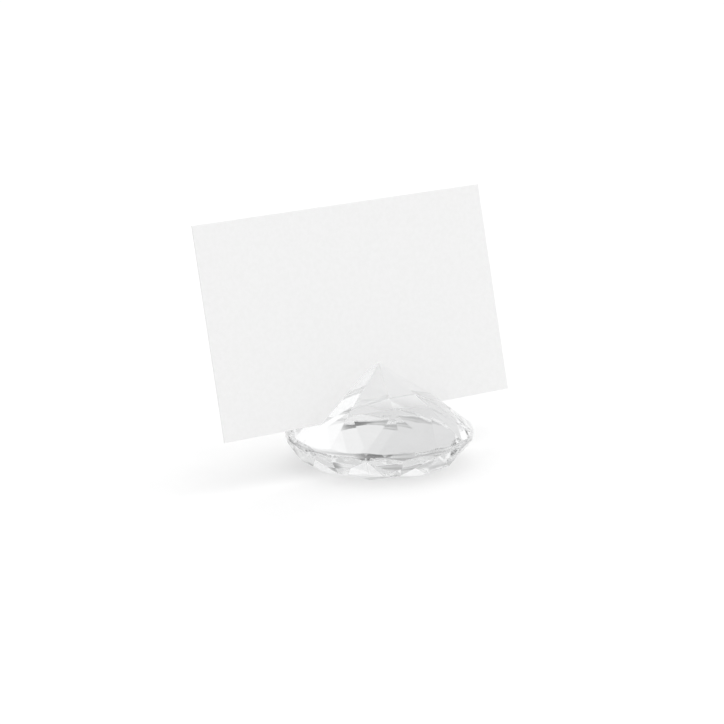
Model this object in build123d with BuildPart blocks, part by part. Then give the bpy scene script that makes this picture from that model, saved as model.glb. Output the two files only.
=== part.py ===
"""Place card holder: a clear faceted stone stands on its table and holds a card in a leaning slot.

The origin is the centre of the table facet, which rests on the table top. +X runs along the slot,
-Y is the side that the card faces, and +Z is up. Sizes are in millimetres and angles in degrees.
"""

import os
from math import cos, radians, sin, tan

from build123d import *

# Stone: a round brilliant, point up, with its facets set out inwards from the girdle
symmetry = 8  # main facets, bezels and corners of the table
stone_diameter = 48.0
girdle_thickness = 2.2
girdle_draft = 3.0  # taper of the girdle each way from the mould's parting line
crown_height = 6.7  # from the table up to the girdle
crown_width = 7.0  # from the girdle in to a corner of the table
upper_half_length = 3.55  # from the girdle in to the corner between two bezels and a star
pavilion_depth = 17.2  # from the girdle up to where the main facets would meet
lower_half_length = 9.6  # from the girdle in to the corner between two main facets
culet_width = 0.5  # flat that the mould leaves on the point

# Slot: a wedge open at both ends, with a rear wall that the card leans on and a floor square to it
slot_floor_width = 0.75
slot_depth = 13.3  # from the sharp point down to the floor, on the stone's axis
slot_lean = 14.2  # of the rear wall, back from upright
slot_flare = 3.7  # of the front wall, forwards from the rear wall, so that the mould draws
slot_setback = 0.3  # from the stone's axis back to the foot of the rear wall

# Card: stands on the slot's floor, close to the rear wall
card_width = 90.0
card_height = 54.0
card_thickness = 0.4
card_shift = -2.8  # of the card's middle from the stone's axis, along the slot
wall_clearance = 0.1  # between the card's back and the rear wall

# Places that follow from these sizes
stone_radius = stone_diameter / 2
half_step = 180 / symmetry  # from a main facet's middle round to the ridge beside it
girdle_base = crown_height
girdle_top = girdle_base + girdle_thickness
parting_height = girdle_base + girdle_thickness / 2
point_height = girdle_top + pavilion_depth
pavilion_slope = pavilion_depth / stone_radius
crown_slope = crown_height / crown_width
table_radius = stone_radius - crown_width
crown_corner_radius = stone_radius - upper_half_length
ridge_corner_radius = stone_radius - lower_half_length
ridge_corner_height = point_height - pavilion_slope * ridge_corner_radius * cos(radians(half_step))
crown_corner_height = crown_slope * (crown_corner_radius * cos(radians(half_step)) - table_radius)
culet_height = point_height - pavilion_slope * culet_width / 2
slot_floor_height = point_height - slot_depth

slot_floor = Plane(
    origin=(0, 0, slot_floor_height),
    x_dir=(1, 0, 0),
    z_dir=(0, sin(radians(slot_lean)), cos(radians(slot_lean))),
)
slot_section = Plane(slot_floor.origin, x_dir=slot_floor.y_dir, z_dir=slot_floor.x_dir)


def on_stone(radius, steps, height):
    """A point of the stone, counted in half facet steps round from its front."""
    return Vector(0, -radius, height).rotate(Axis.Z, steps * half_step)


def grind(first, second, third):
    """Grind the stone flat through three points, away from the middle of its girdle."""
    normal = (second - first).cross(third - first)
    outward = first - Vector(0, 0, parting_height)
    if normal.dot(outward) < 0:
        normal = -normal
    split(bisect_by=Plane(first, z_dir=normal), keep=Keep.BOTTOM)


def girdle_radius(height):
    """Radius of the drafted blank at a height."""
    return stone_radius - abs(height - parting_height) * tan(radians(girdle_draft))


with BuildPart() as faceted_stone:
    # Blank from the table to the culet, widest at the parting line
    with BuildSketch(Plane.XZ):
        with BuildLine():
            Polyline(
                (0, 0),
                (girdle_radius(0), 0),
                (stone_radius, parting_height),
                (girdle_radius(culet_height), culet_height),
                (0, culet_height),
                close=True,
            )
        make_face()
    revolve(axis=Axis.Z)

    # Each step of two is one main facet with its bezel, and the half facets and star beside them
    for middle in range(0, 2 * symmetry, 2):
        grind(
            Vector(0, 0, point_height),
            on_stone(ridge_corner_radius, middle - 1, ridge_corner_height),
            on_stone(ridge_corner_radius, middle + 1, ridge_corner_height),
        )
        grind(
            on_stone(table_radius, middle, 0),
            on_stone(crown_corner_radius, middle - 1, crown_corner_height),
            on_stone(crown_corner_radius, middle + 1, crown_corner_height),
        )
        for ridge in (middle - 1, middle + 1):
            grind(
                on_stone(ridge_corner_radius, ridge, ridge_corner_height),
                on_stone(stone_radius, ridge, girdle_top),
                on_stone(stone_radius, middle, girdle_top),
            )
            grind(
                on_stone(crown_corner_radius, ridge, crown_corner_height),
                on_stone(stone_radius, ridge, girdle_base),
                on_stone(stone_radius, middle, girdle_base),
            )
        grind(
            on_stone(crown_corner_radius, middle + 1, crown_corner_height),
            on_stone(table_radius, middle, 0),
            on_stone(table_radius, middle + 2, 0),
        )

    # Slot, drawn across its length with the rear wall upright in the sketch
    with BuildSketch(slot_section):
        with BuildLine():
            Polyline(
                (slot_setback - slot_floor_width, 0),
                (slot_setback, 0),
                (slot_setback, point_height),
                (slot_setback - slot_floor_width - point_height * tan(radians(slot_flare)), point_height),
                close=True,
            )
        make_face()
    extrude(amount=stone_radius, both=True, mode=Mode.SUBTRACT)

with BuildPart() as place_card:
    with BuildSketch(slot_floor):
        with Locations((card_shift, slot_setback - wall_clearance - card_thickness / 2)):
            Rectangle(card_width, card_thickness)
    extrude(amount=card_height)

os.makedirs("parts", exist_ok=True)
faceted_stone.part.label = "faceted_stone"
export_step(faceted_stone.part, "parts/faceted_stone.step")
place_card.part.label = "place_card"
export_step(place_card.part, "parts/place_card.step")
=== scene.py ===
"""Looks of the place card holder: a clear faceted stone with a plain card, on a white table."""

from math import cos, radians, sin

import bmesh
import bpy
from bpy.props import CollectionProperty, FloatProperty, FloatVectorProperty, PointerProperty
from bpy.types import Operator, Panel, PropertyGroup
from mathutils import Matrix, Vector


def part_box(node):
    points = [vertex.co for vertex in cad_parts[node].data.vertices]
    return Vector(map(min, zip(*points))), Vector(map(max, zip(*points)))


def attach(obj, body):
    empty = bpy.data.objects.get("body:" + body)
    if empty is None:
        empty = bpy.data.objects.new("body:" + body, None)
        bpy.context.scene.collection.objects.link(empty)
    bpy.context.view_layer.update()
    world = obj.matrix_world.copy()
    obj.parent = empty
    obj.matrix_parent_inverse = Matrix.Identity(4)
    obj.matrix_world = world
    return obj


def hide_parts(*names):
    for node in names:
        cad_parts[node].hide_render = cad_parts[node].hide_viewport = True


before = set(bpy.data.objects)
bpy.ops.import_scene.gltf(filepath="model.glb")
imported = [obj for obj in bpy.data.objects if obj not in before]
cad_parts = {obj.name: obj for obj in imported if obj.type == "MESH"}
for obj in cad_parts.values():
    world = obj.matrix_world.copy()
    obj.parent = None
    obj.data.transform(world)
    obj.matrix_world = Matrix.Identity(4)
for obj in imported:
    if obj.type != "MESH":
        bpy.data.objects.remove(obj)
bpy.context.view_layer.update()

bl_info = {
    "name": "Place Card Holder",
    "version": (1, 0, 0),
    "blender": (4, 5, 0),
    "location": "3D View > Sidebar > Place Card",
    "description": "Dresses a faceted place card holder and its card on a white table",
    "category": "Object",
}


class StoneSettings(PropertyGroup):
    """Finish of the clear stone."""

    edge_radius: FloatProperty(
        name="Edge Radius",
        description="Softening that the mould and the polish leave on the facet edges",
        default=0.00012, min=0.0, precision=5, subtype="DISTANCE", unit="LENGTH",
    )
    refractive_index: FloatProperty(
        name="Refractive Index",
        description="How strongly the acrylic bends light",
        default=1.49, min=1.0, max=2.0,
    )
    cone_tint: FloatVectorProperty(
        name="Cone Tint",
        description="Colour of the clear acrylic above the parting line",
        default=(0.994, 0.997, 1.0), min=0.0, max=1.0, subtype="COLOR",
    )
    # Painted shade: the acrylic below the parting line is darkened well beyond its own slight
    # absorption, so that the crown and base show grey as if they saw shaded table
    shaded_base_tint: FloatVectorProperty(
        name="Base Tint",
        description="Colour of the clear acrylic below the parting line, where light goes further",
        default=(0.88, 0.885, 0.887), min=0.0, max=1.0, subtype="COLOR",
    )
    # The girdle is drawn a little darker than the cone, with darker lines stretched round it
    girdle_tint: FloatVectorProperty(
        name="Girdle Tint",
        description="Colour of the clear acrylic on the girdle, which the mould leaves less clear",
        default=(0.93, 0.935, 0.937), min=0.0, max=1.0, subtype="COLOR",
    )
    girdle_lines: FloatProperty(
        name="Girdle Lines",
        description="How much darker the fine lines are that the mould leaves round the girdle",
        default=0.6, min=0.0, max=1.0, subtype="FACTOR",
    )
    polish: FloatProperty(
        name="Polish",
        description="Roughness of the polished facets where they are dullest",
        default=0.03, min=0.0, max=1.0, subtype="FACTOR",
    )
    ripple: FloatProperty(
        name="Ripple",
        description="Depth of the shallow waves that moulding leaves on the facets",
        default=0.000004, min=0.0, precision=7, subtype="DISTANCE", unit="LENGTH",
    )
    cone_clearness: FloatProperty(
        name="Cone Clearness",
        description="Share of light that passes straight through the cone's facets and slot",
        default=1.0, min=0.0, max=1.0, subtype="FACTOR",
    )
    base_clearness: FloatProperty(
        name="Base Clearness",
        description="Share of light that passes straight through the facets below the cone",
        default=0.77, min=0.0, max=1.0, subtype="FACTOR",
    )


class CardSettings(PropertyGroup):
    """Finish of the card."""

    edge_radius: FloatProperty(
        name="Edge Radius",
        description="Softening of the card's cut edges",
        default=0.00006, min=0.0, precision=5, subtype="DISTANCE", unit="LENGTH",
    )
    stock: FloatVectorProperty(
        name="Stock",
        description="Colour of the card stock",
        default=(0.872, 0.872, 0.872), min=0.0, max=1.0, subtype="COLOR",
    )
    fibre: FloatVectorProperty(
        name="Fibre",
        description="Colour of the thinner flecks between the fibres",
        default=(0.852, 0.852, 0.85), min=0.0, max=1.0, subtype="COLOR",
    )
    tooth: FloatProperty(
        name="Tooth",
        description="Depth of the uncoated stock's fine grain",
        default=0.000012, min=0.0, precision=6, subtype="DISTANCE", unit="LENGTH",
    )


class SoftLight(PropertyGroup):
    """One soft panel or lamp of the studio."""

    azimuth: FloatProperty(
        name="Azimuth",
        description="Direction of the light's middle, from the holder's front round to its right",
        subtype="ANGLE", unit="ROTATION",
    )
    elevation: FloatProperty(
        name="Elevation",
        description="Height of the light's middle above the table",
        subtype="ANGLE", unit="ROTATION",
    )
    spread: FloatProperty(
        name="Spread",
        description="Angle from the light's middle out to its edge",
        default=radians(40), subtype="ANGLE", unit="ROTATION",
    )
    level: FloatProperty(
        name="Level",
        description="What a panel's middle adds or, below zero, takes away, or a lamp's strength",
        default=0.5,
    )


class StageSettings(PropertyGroup):
    """Table, light and camera."""

    table: FloatVectorProperty(
        name="Table",
        description="Colour of the white table top",
        default=(0.8, 0.8, 0.8), min=0.0, max=1.0, subtype="COLOR",
    )
    table_lift: FloatProperty(
        name="Table Lift",
        description="Light added to the table as the camera and the stone see it, to keep it white",
        default=0.045, min=0.0, max=1.0,
    )
    fill: FloatProperty(
        name="Fill",
        description="Light of the studio away from its panels",
        default=0.725, min=0.0,
    )
    panels: CollectionProperty(
        name="Panels",
        description="Soft panels and dark flags round the holder, which the stone shows",
        type=SoftLight,
    )
    lamps: CollectionProperty(
        name="Lamps",
        description="Soft lamps that shape the shadows",
        type=SoftLight,
    )
    view_azimuth: FloatProperty(
        name="View Azimuth",
        description="Direction of the camera, from the holder's front round to its right",
        default=radians(-36.9), subtype="ANGLE", unit="ROTATION",
    )
    view_elevation: FloatProperty(
        name="View Elevation",
        description="Height of the camera above the table",
        default=radians(14), subtype="ANGLE", unit="ROTATION",
    )
    view_distance: FloatProperty(
        name="View Distance",
        description="From the camera to the point that it looks at",
        default=0.8485, min=0.0, subtype="DISTANCE", unit="LENGTH",
    )
    lens: FloatProperty(
        name="Lens",
        description="Focal length on a sensor 36 mm wide",
        default=166.5, min=1.0, unit="CAMERA",
    )
    aim_left: FloatProperty(
        name="Aim Left",
        description="How far left of the stone's point the camera looks",
        default=0.00436, precision=5, subtype="DISTANCE", unit="LENGTH",
    )
    aim_up: FloatProperty(
        name="Aim Up",
        description="How far above the stone's point the camera looks",
        default=0.0003, precision=5, subtype="DISTANCE", unit="LENGTH",
    )


# Azimuth, elevation and spread in degrees, and level, of each soft panel, dark flag and lamp
studio_panels = {
    "front": (12, 20, 75, 0.27),
    "right": (101, 18, 46, 0.34),
    "high_flag": (129, 47, 8.5, -0.58),
    "low_flag": (122, 7, 6.5, -0.65),
}
studio_lamps = {
    "side": (118, 45, 40, 1.09),
    "top": (-85, 76, 36, 0.65),
}

# Angles between faces: joined into one facet below the first, rounded off above the next two,
# and shaded as a sharp edge above the last
same_facet = radians(0.15)
stone_edge = radians(5.5)
card_edge = radians(30)
sharp_edge = radians(30)
weld_distance = 2e-6  # between corners that are one
sorting_line = Vector((0.61, 1.73, 2.87))  # no two corners, edges or faces lie level along it

# Girdle: how far its faces may tip from upright, how far out they lie as a share of the stone's
# radius, and the stretch that draws clouds out into lines round it
girdle_tip = 0.2
girdle_reach = 0.9
girdle_stretch = (1.0, 1.0, 25.0)

cloud_depth = 0.01  # of the faint clouds in the acrylic and the table top
table_half_width = 6.0
table_gap = 0.00005  # keeps the table top from lying in the stone's table facet
light_bounces = 24  # enough for paths that cross many facets
sensor_width = 36.0  # in millimetres, as the lens is


def from_holder(azimuth, elevation):
    """Direction from the holder, with azimuth counted from its front round to its right."""
    return Vector((sin(azimuth) * cos(elevation), -cos(azimuth) * cos(elevation), sin(elevation)))


def add_node(tree, kind, settings=None, inputs=None):
    """Add a node with its settings, and fill its inputs with values or other nodes' outputs."""
    node = tree.nodes.new(kind)
    for name, value in (settings or {}).items():
        setattr(node, name, value)
    for name, value in (inputs or {}).items():
        if isinstance(value, bpy.types.NodeSocket):
            tree.links.new(value, node.inputs[name])
        else:
            node.inputs[name].default_value = value
    return node


def new_material(name):
    """A material with only its output node."""
    material = bpy.data.materials.new(name)
    material.use_nodes = True
    material.node_tree.nodes.clear()
    output = add_node(material.node_tree, "ShaderNodeOutputMaterial")
    return material, material.node_tree, output


def opaque(colour):
    """A colour with full alpha, for a node's colour socket."""
    return (*colour, 1.0)


def mottle_group():
    """Shared soft cloudiness, from Low to High over the surface."""
    name = "Soft Mottle"
    if name in bpy.data.node_groups:
        return bpy.data.node_groups[name]
    group = bpy.data.node_groups.new(name, "ShaderNodeTree")
    for label, default in (("Scale", 200.0), ("Detail", 3.0), ("Low", 0.0), ("High", 1.0)):
        socket = group.interface.new_socket(label, in_out="INPUT", socket_type="NodeSocketFloat")
        socket.default_value = default
    stretch = group.interface.new_socket("Stretch", in_out="INPUT", socket_type="NodeSocketVector")
    stretch.default_value = (1.0, 1.0, 1.0)
    group.interface.new_socket("Value", in_out="OUTPUT", socket_type="NodeSocketFloat")
    entry = add_node(group, "NodeGroupInput").outputs
    place = add_node(
        group, "ShaderNodeVectorMath", {"operation": "MULTIPLY"},
        {0: add_node(group, "ShaderNodeTexCoord").outputs["Object"], 1: entry["Stretch"]},
    )
    clouds = add_node(
        group, "ShaderNodeTexNoise", None,
        {
            "Vector": place.outputs["Vector"],
            "Scale": entry["Scale"],
            "Detail": entry["Detail"],
            "Roughness": 0.55,
        },
    )
    spread = add_node(
        group, "ShaderNodeMapRange", {"interpolation_type": "SMOOTHSTEP"},
        {
            "Value": clouds.outputs["Fac"],
            "From Min": 0.3,
            "From Max": 0.7,
            "To Min": entry["Low"],
            "To Max": entry["High"],
        },
    )
    add_node(group, "NodeGroupOutput", None, {"Value": spread.outputs["Result"]})
    return group


def mottle(tree, scale, detail, low=0.0, high=1.0, stretch=(1.0, 1.0, 1.0)):
    """Place the shared mottle in a material and return its value."""
    inputs = {"Scale": scale, "Detail": detail, "Low": low, "High": high, "Stretch": stretch}
    return add_node(tree, "ShaderNodeGroup", {"node_tree": mottle_group()}, inputs).outputs["Value"]


def acrylic(name, stone, tint, clearness, depth=cloud_depth, stretch=(1.0, 1.0, 1.0)):
    """Clear moulded acrylic: clouds or lines in its tint, faint haze and shallow ripples.

    Light for other surfaces passes straight through, by the clearness at each facet.
    """
    material, tree, output = new_material(name)
    clouds = add_node(
        tree, "ShaderNodeMix", {"data_type": "RGBA"},
        {
            "Factor": mottle(tree, scale=70.0, detail=2.0, stretch=stretch),
            "A": opaque([(1.0 - depth) * part for part in tint]),
            "B": opaque(tint),
        },
    )
    waves = add_node(
        tree, "ShaderNodeBump", None,
        {
            "Height": mottle(tree, scale=140.0, detail=1.0),
            "Strength": 1.0,
            "Distance": stone.ripple,
        },
    )
    body = add_node(
        tree, "ShaderNodeBsdfPrincipled", None,
        {
            "Base Color": clouds.outputs["Result"],
            "Roughness": mottle(tree, scale=420.0, detail=4.0, high=stone.polish),
            "IOR": stone.refractive_index,
            "Transmission Weight": 1.0,
            "Normal": waves.outputs["Normal"],
        },
    )
    clear = add_node(tree, "ShaderNodeBsdfTransparent", None, {"Color": opaque([clearness] * 3)})
    rays = add_node(tree, "ShaderNodeLightPath").outputs
    lighting = add_node(
        tree, "ShaderNodeMath", {"operation": "MAXIMUM"},
        {0: rays["Is Shadow Ray"], 1: rays["Is Diffuse Ray"]},
    ).outputs[0]
    mix = add_node(
        tree, "ShaderNodeMixShader", None,
        {0: lighting, 1: body.outputs[0], 2: clear.outputs[0]},
    )
    tree.links.new(mix.outputs[0], output.inputs["Surface"])
    return material


def card_stock(card):
    """Uncoated white card: faint fibre flecks and a fine tooth."""
    material, tree, output = new_material("card_stock")
    tone = add_node(
        tree, "ShaderNodeMix", {"data_type": "RGBA"},
        {
            "Factor": mottle(tree, scale=900.0, detail=6.0),
            "A": opaque(card.fibre),
            "B": opaque(card.stock),
        },
    )
    tooth = add_node(
        tree, "ShaderNodeBump", None,
        {
            "Height": mottle(tree, scale=3500.0, detail=4.0),
            "Strength": 0.5,
            "Distance": card.tooth,
        },
    )
    body = add_node(
        tree, "ShaderNodeBsdfPrincipled", None,
        {
            "Base Color": tone.outputs["Result"],
            "Roughness": mottle(tree, scale=1500.0, detail=4.0, low=0.62, high=0.75),
            "Specular IOR Level": 0.3,
            "Normal": tooth.outputs["Normal"],
        },
    )
    tree.links.new(body.outputs[0], output.inputs["Surface"])
    return material


def softened_copy(node, radius, least_angle):
    """A bmesh of a CAD node's shape, with edges rounded off above an angle between faces."""
    mesh = bmesh.new()
    mesh.from_mesh(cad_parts[node].data)
    bmesh.ops.remove_doubles(mesh, verts=mesh.verts, dist=weld_distance)
    bmesh.ops.dissolve_limit(mesh, angle_limit=same_facet, verts=mesh.verts, edges=mesh.edges)
    edges = [
        edge for edge in mesh.edges
        if edge.is_manifold and edge.calc_face_angle() > least_angle
    ]
    bmesh.ops.bevel(
        mesh, geom=edges, offset=radius, segments=2, profile=0.5,
        affect="EDGES", clamp_overlap=True,
    )
    for face in mesh.faces:
        face.smooth = True
    return mesh


def put_in_order(mesh):
    """Number corners, edges and faces by where they lie, so that each run gives the same mesh."""
    mesh.verts.sort(key=lambda corner: corner.co.dot(sorting_line))
    mesh.edges.sort(key=lambda edge: sum(corner.co.dot(sorting_line) for corner in edge.verts))
    mesh.faces.sort(key=lambda face: face.calc_center_median().dot(sorting_line))


def new_piece(mesh, name):
    """An object with flat facets and rounded edges, made from a bmesh."""
    bmesh.ops.triangulate(mesh, faces=[face for face in mesh.faces if len(face.verts) > 4])
    put_in_order(mesh)
    data = bpy.data.meshes.new(name)
    mesh.to_mesh(data)
    mesh.free()
    data.set_sharp_from_angle(angle=sharp_edge)
    piece = bpy.data.objects.new(name, data)
    bpy.context.scene.collection.objects.link(piece)
    piece.modifiers.new("facets", "WEIGHTED_NORMAL").weight = 100
    return piece


class PLACECARD_OT_clear_stone(Operator):
    """Make the clear stone with its facet edges rounded off"""

    bl_idname = "place_card.clear_stone"
    bl_label = "Clear Stone"

    def execute(self, context):
        stone = context.scene.stone_settings
        mesh = softened_copy("faceted_stone", stone.edge_radius, stone_edge)
        self.sort_faces(mesh)
        piece = new_piece(mesh, "clear_stone")
        for material in (
            acrylic("cone_acrylic", stone, stone.cone_tint, stone.cone_clearness),
            # The base's darker tint is painted shade
            acrylic("base_acrylic", stone, stone.shaded_base_tint, stone.base_clearness),
            acrylic(
                "girdle_acrylic", stone, stone.girdle_tint, stone.base_clearness,
                depth=stone.girdle_lines, stretch=girdle_stretch,
            ),
        ):
            piece.data.materials.append(material)
        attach(piece, "stone")
        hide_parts("faceted_stone")
        return {"FINISHED"}

    def sort_faces(self, mesh):
        """Sort the stone's faces into cone, base and girdle, in the order of its materials."""
        cone, base, girdle = range(3)
        widest = max((corner.co for corner in mesh.verts), key=lambda place: place.xy.length)
        for face in mesh.faces:
            middle = face.calc_center_median()
            upright = abs(face.normal.z) < girdle_tip
            if upright and middle.xy.length > girdle_reach * widest.xy.length:
                face.material_index = girdle
            else:
                face.material_index = base if middle.z < widest.z else cone


class PLACECARD_OT_white_card(Operator):
    """Make the white card with its cut edges softened"""

    bl_idname = "place_card.white_card"
    bl_label = "White Card"

    def execute(self, context):
        card = context.scene.card_settings
        mesh = softened_copy("place_card", card.edge_radius, card_edge)
        piece = new_piece(mesh, "white_card")
        piece.data.materials.append(card_stock(card))
        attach(piece, "card")
        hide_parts("place_card")
        return {"FINISHED"}


class PLACECARD_OT_white_table(Operator):
    """Set the holder on a white table with soft light and a camera"""

    bl_idname = "place_card.white_table"
    bl_label = "White Table"

    def execute(self, context):
        stage = context.scene.stage_settings
        self.lay_table(context, stage)
        self.set_up(stage.panels, studio_panels)
        self.set_up(stage.lamps, studio_lamps)
        self.light_studio(context, stage)
        self.hang_lamps(context, stage)
        self.place_camera(context, stage)
        context.scene.view_settings.view_transform = "Standard"
        cycles = context.scene.cycles
        cycles.max_bounces = light_bounces
        cycles.transmission_bounces = cycles.glossy_bounces = light_bounces
        return {"FINISHED"}

    def lay_table(self, context, stage):
        """Lay a wide white table top a hair under the stone."""
        mesh = bmesh.new()
        bmesh.ops.create_grid(mesh, x_segments=1, y_segments=1, size=table_half_width)
        data = bpy.data.meshes.new("table_top")
        mesh.to_mesh(data)
        mesh.free()
        table = bpy.data.objects.new("table_top", data)
        table.location.z = -table_gap
        context.scene.collection.objects.link(table)
        material, tree, output = new_material("white_table")
        tone = add_node(
            tree, "ShaderNodeMix", {"data_type": "RGBA"},
            {
                "Factor": mottle(tree, scale=60.0, detail=4.0),
                "A": opaque([(1.0 - cloud_depth) * part for part in stage.table]),
                "B": opaque(stage.table),
            },
        )
        matt = add_node(
            tree, "ShaderNodeBsdfPrincipled", None,
            {"Base Color": tone.outputs["Result"], "Roughness": 1.0, "Specular IOR Level": 0.0},
        )
        lift = add_node(
            tree, "ShaderNodeEmission", None,
            {"Strength": self.seen(tree, stage.table_lift)},
        )
        both = add_node(
            tree, "ShaderNodeAddShader", None,
            {0: matt.outputs[0], 1: lift.outputs[0]},
        )
        tree.links.new(both.outputs[0], output.inputs["Surface"])
        data.materials.append(material)

    def seen(self, tree, strength):
        """A strength for what the camera sees, by itself or in and through the stone."""
        rays = add_node(tree, "ShaderNodeLightPath").outputs
        either = add_node(
            tree, "ShaderNodeMath", {"operation": "MAXIMUM"},
            {0: rays["Is Glossy Ray"], 1: rays["Is Transmission Ray"]},
        )
        any_ray = add_node(
            tree, "ShaderNodeMath", {"operation": "MAXIMUM"},
            {0: rays["Is Camera Ray"], 1: either.outputs[0]},
        )
        scaled = add_node(
            tree, "ShaderNodeMath", {"operation": "MULTIPLY"},
            {0: any_ray.outputs[0], 1: strength},
        )
        return scaled.outputs[0]

    def set_up(self, lights, plan):
        """Set up lights from the studio's plan, unless the user has set up others."""
        if lights:
            return
        for name, (azimuth, elevation, spread, level) in plan.items():
            light = lights.add()
            light.name = name
            light.azimuth = radians(azimuth)
            light.elevation = radians(elevation)
            light.spread = radians(spread)
            light.level = level

    def light_studio(self, context, stage):
        """Light the studio with an even fill, panels and flags, which the camera sees as white."""
        world = bpy.data.worlds.new("soft_studio")
        world.use_nodes = True
        tree = world.node_tree
        tree.nodes.clear()
        outwards = add_node(tree, "ShaderNodeTexCoord").outputs["Generated"]
        level = stage.fill
        for panel in stage.panels:
            towards = add_node(
                tree, "ShaderNodeVectorMath", {"operation": "DOT_PRODUCT"},
                {0: outwards, 1: from_holder(panel.azimuth, panel.elevation)},
            )
            glow = add_node(
                tree, "ShaderNodeMapRange", {"interpolation_type": "SMOOTHSTEP"},
                {
                    "Value": towards.outputs["Value"],
                    "From Min": cos(panel.spread),
                    "To Max": panel.level,
                },
            )
            level = add_node(
                tree, "ShaderNodeMath", {"operation": "ADD"},
                {0: glow.outputs["Result"], 1: level},
            ).outputs[0]
        backdrop = add_node(
            tree, "ShaderNodeMix", {"data_type": "FLOAT"},
            {
                "Factor": add_node(tree, "ShaderNodeLightPath").outputs["Is Camera Ray"],
                "A": level,
                "B": 1.0,
            },
        )
        background = add_node(
            tree, "ShaderNodeBackground", None,
            {"Color": (1.0, 1.0, 1.0, 1.0), "Strength": backdrop.outputs["Result"]},
        )
        add_node(tree, "ShaderNodeOutputWorld", None, {"Surface": background.outputs[0]})
        context.scene.world = world

    def hang_lamps(self, context, stage):
        """Hang the soft lamps, which light the table and the card and don't show in the stone."""
        for lamp in stage.lamps:
            name = lamp.name + "_lamp"
            light = bpy.data.lights.new(name, "SUN")
            light.energy = lamp.level
            light.angle = 2 * lamp.spread
            lantern = bpy.data.objects.new(name, light)
            lantern.visible_glossy = lantern.visible_transmission = False
            towards = from_holder(lamp.azimuth, lamp.elevation)
            lantern.rotation_euler = towards.to_track_quat("Z", "Y").to_euler()
            context.scene.collection.objects.link(lantern)

    def place_camera(self, context, stage):
        """Place the camera at the photograph's viewing angle."""
        data = bpy.data.cameras.new("camera")
        data.sensor_width = sensor_width
        data.lens = stage.lens
        data.clip_start = 0.01
        data.clip_end = 50.0
        camera = bpy.data.objects.new("camera", data)
        towards = from_holder(stage.view_azimuth, stage.view_elevation)
        turn = towards.to_track_quat("Z", "Y")
        point = Vector((0.0, 0.0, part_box("faceted_stone")[1].z))
        aim = point - turn @ Vector((stage.aim_left, -stage.aim_up, 0.0))
        camera.location = aim + towards * stage.view_distance
        camera.rotation_euler = turn.to_euler()
        context.scene.collection.objects.link(camera)
        context.scene.camera = camera


class PLACECARD_PT_holder(Panel):
    """Pieces of the place card holder, with their settings"""

    bl_idname = "PLACECARD_PT_holder"
    bl_label = "Place Card Holder"
    bl_space_type = "VIEW_3D"
    bl_region_type = "UI"
    bl_category = "Place Card"

    def draw(self, context):
        rows = (
            ("place_card.clear_stone", context.scene.stone_settings),
            ("place_card.white_card", context.scene.card_settings),
            ("place_card.white_table", context.scene.stage_settings),
        )
        for operator, settings in rows:
            box = self.layout.box()
            box.operator(operator)
            for name, value in settings.__annotations__.items():
                if value.function is not CollectionProperty:
                    box.prop(settings, name)
                    continue
                for light in getattr(settings, name):
                    row = box.row()
                    row.label(text=light.name)
                    for part in SoftLight.__annotations__:
                        row.prop(light, part)


settings_groups = {
    "stone_settings": StoneSettings,
    "card_settings": CardSettings,
    "stage_settings": StageSettings,
}
classes = (
    StoneSettings,
    CardSettings,
    SoftLight,
    StageSettings,
    PLACECARD_OT_clear_stone,
    PLACECARD_OT_white_card,
    PLACECARD_OT_white_table,
    PLACECARD_PT_holder,
)


def register():
    """Register the classes, and give each scene the settings."""
    for cls in classes:
        bpy.utils.register_class(cls)
    for name, group in settings_groups.items():
        setattr(bpy.types.Scene, name, PointerProperty(type=group))


def unregister():
    """Take the settings and the classes away again."""
    for name in settings_groups:
        delattr(bpy.types.Scene, name)
    for cls in reversed(classes):
        bpy.utils.unregister_class(cls)


def main():
    """Make the pieces and the stage."""
    register()
    bpy.ops.place_card.clear_stone()
    bpy.ops.place_card.white_card()
    bpy.ops.place_card.white_table()


if __name__ == "__main__":
    main()
